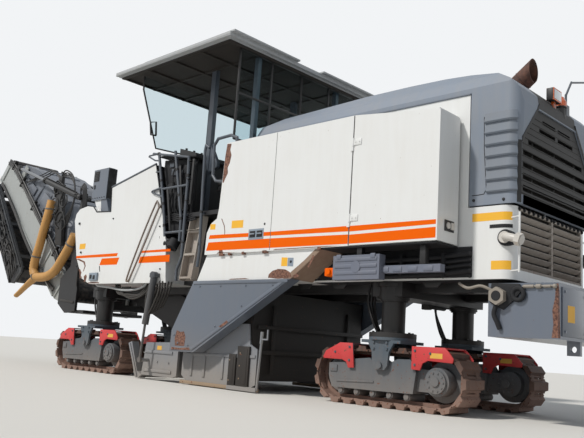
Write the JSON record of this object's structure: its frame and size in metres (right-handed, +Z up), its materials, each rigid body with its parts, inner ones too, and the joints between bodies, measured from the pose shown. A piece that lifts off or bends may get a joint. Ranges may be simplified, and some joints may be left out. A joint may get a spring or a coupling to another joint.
{
  "type": "cold planer milling machine",
  "caption": "Cold planer milling machine on crawler tracks with lifting columns, milling drum, operator platform with canopy, engine hood and folded discharge conveyor.",
  "frame": {"origin": "centre of the bounding box's footprint, on the ground under the tracks", "axes": "+X forward towards the discharge conveyor, +Y the machine's left side, +Z up"},
  "size_m": [12.7544, 3, 4.496],
  "materials": {
    "white_paint": "satin",
    "grey_paint": "satin",
    "dark_paint": "satin",
    "bare_steel": "worn",
    "dusty_track": "dusty",
    "rusty_pipe": "rusty",
    "lamp_orange": "gloss",
    "rubber_belt": "matte",
    "hose_ochre": "matte",
    "clear_glass": "gloss",
    "seat_vinyl": "matte"
  },
  "bodies": {
    "machine": {"chassis_frame": "dark_paint", "front_hull": "white_paint", "centre_body": "dark_paint", "rear_hull": "white_paint", "engine_block": "dark_paint", "rear_louvre": "white_paint", "rear_counterweight": "grey_paint", "locker_left": "white_paint", "locker_right": "white_paint", "side_skirt_left": "grey_paint", "side_skirt_right": "grey_paint", "drum_housing": "dark_paint", "shield_cylinders": "bare_steel", "primary_conveyor": "dark_paint", "platform_deck": "dark_paint", "platform_rails": "dark_paint", "consoles": "dark_paint", "seats": "seat_vinyl", "canopy_roof": "grey_paint", "canopy_posts": "dark_paint", "windscreens": "clear_glass", "steps": "white_paint", "air_filter_box": "grey_paint", "tool_case": "grey_paint"},
    "door_left": {"locker_door_left": "white_paint"},
    "door_right": {"locker_door_right": "white_paint"},
    "drum": {"drum_body": "bare_steel", "drum_picks": "dusty_track"},
    "guard_left": {"side_plate_left": "grey_paint"},
    "guard_right": {"side_plate_right": "grey_paint"},
    "shield": {"front_shield": "grey_paint"},
    "hood": {"engine_hood": "grey_paint", "hood_grille": "dark_paint", "exhaust_pipe": "rusty_pipe", "rear_lamps": "lamp_orange", "rear_mirror": "dark_paint"},
    "track_fl": {"track_frame_fl": "grey_paint", "track_chain_fl": "dusty_track"},
    "track_fr": {"track_frame_fr": "grey_paint", "track_chain_fr": "dusty_track"},
    "track_rl": {"track_frame_rl": "grey_paint", "track_chain_rl": "dusty_track"},
    "track_rr": {"track_frame_rr": "grey_paint", "track_chain_rr": "dusty_track"},
    "console": {"slew_console": "dark_paint", "lift_cylinders": "bare_steel"},
    "conveyor_lower": {"conveyor_lower_frame": "bare_steel", "conveyor_lower_belt": "rubber_belt", "conveyor_cover": "grey_paint", "dust_hoses": "hose_ochre"},
    "conveyor_upper": {"conveyor_upper_frame": "bare_steel", "conveyor_upper_belt": "rubber_belt"}
  },
  "joints": [
    {"name": "drum_spin", "type": "hinge", "parent": "machine", "child": "drum", "pos_m": [-2.07646, 0, 0.68], "axis": [0, 1, 0], "continuous": true},
    {"name": "steer_front_left", "type": "hinge", "parent": "machine", "child": "track_fl", "pos_m": [1.07354, 0.711, 0], "axis": [0, 0, 1], "range_deg": [-25, 25]},
    {"name": "steer_front_right", "type": "hinge", "parent": "machine", "child": "track_fr", "pos_m": [1.07354, -0.711, 0], "axis": [0, 0, 1], "range_deg": [-25, 25]},
    {"name": "steer_rear_left", "type": "hinge", "parent": "machine", "child": "track_rl", "pos_m": [-4.52646, 0.711, 0], "axis": [0, 0, 1], "range_deg": [-20, 20]},
    {"name": "steer_rear_right", "type": "hinge", "parent": "machine", "child": "track_rr", "pos_m": [-4.52646, -0.711, 0], "axis": [0, 0, 1], "range_deg": [-20, 20]},
    {"name": "side_plate_left_lift", "type": "slide", "parent": "machine", "child": "guard_left", "axis": [0, 0, 1], "range_m": [0, 0.35]},
    {"name": "side_plate_right_lift", "type": "slide", "parent": "machine", "child": "guard_right", "axis": [0, 0, 1], "range_m": [0, 0.35]},
    {"name": "front_shield_lift", "type": "hinge", "parent": "machine", "child": "shield", "pos_m": [-1.33646, 0, 0.48], "axis": [0, -1, 0], "range_deg": [0, 12]},
    {"name": "hood_open", "type": "hinge", "parent": "machine", "child": "hood", "pos_m": [-2.29146, 0, 3.19], "axis": [0, 1, 0], "range_deg": [0, 35]},
    {"name": "door_left_open", "type": "hinge", "parent": "machine", "child": "door_left", "pos_m": [-4.31646, 1.28, 2.3], "axis": [0, 0, -1], "range_deg": [0, 100]},
    {"name": "door_right_open", "type": "hinge", "parent": "machine", "child": "door_right", "pos_m": [-4.31646, -1.28, 2.3], "axis": [0, 0, 1], "range_deg": [0, 100]},
    {"name": "conveyor_slew", "type": "hinge", "parent": "machine", "child": "console", "pos_m": [2.07354, 0, 1], "axis": [0, 0, 1], "range_deg": [-55, 55]},
    {"name": "conveyor_lift", "type": "hinge", "parent": "console", "child": "conveyor_lower", "pos_m": [2.52354, 0, 1.27], "axis": [0, -1, 0], "range_deg": [-22, 5]},
    {"name": "conveyor_fold", "type": "hinge", "parent": "conveyor_lower", "child": "conveyor_upper", "pos_m": [5.94216, 0, 3.67532], "axis": [0, -1, 0], "range_deg": [0, 172]}
  ],
  "couplings": [
    {"joint": "steer_front_right", "follows": "steer_front_left", "ratio": 1},
    {"joint": "steer_rear_right", "follows": "steer_rear_left", "ratio": 1}
  ]
}
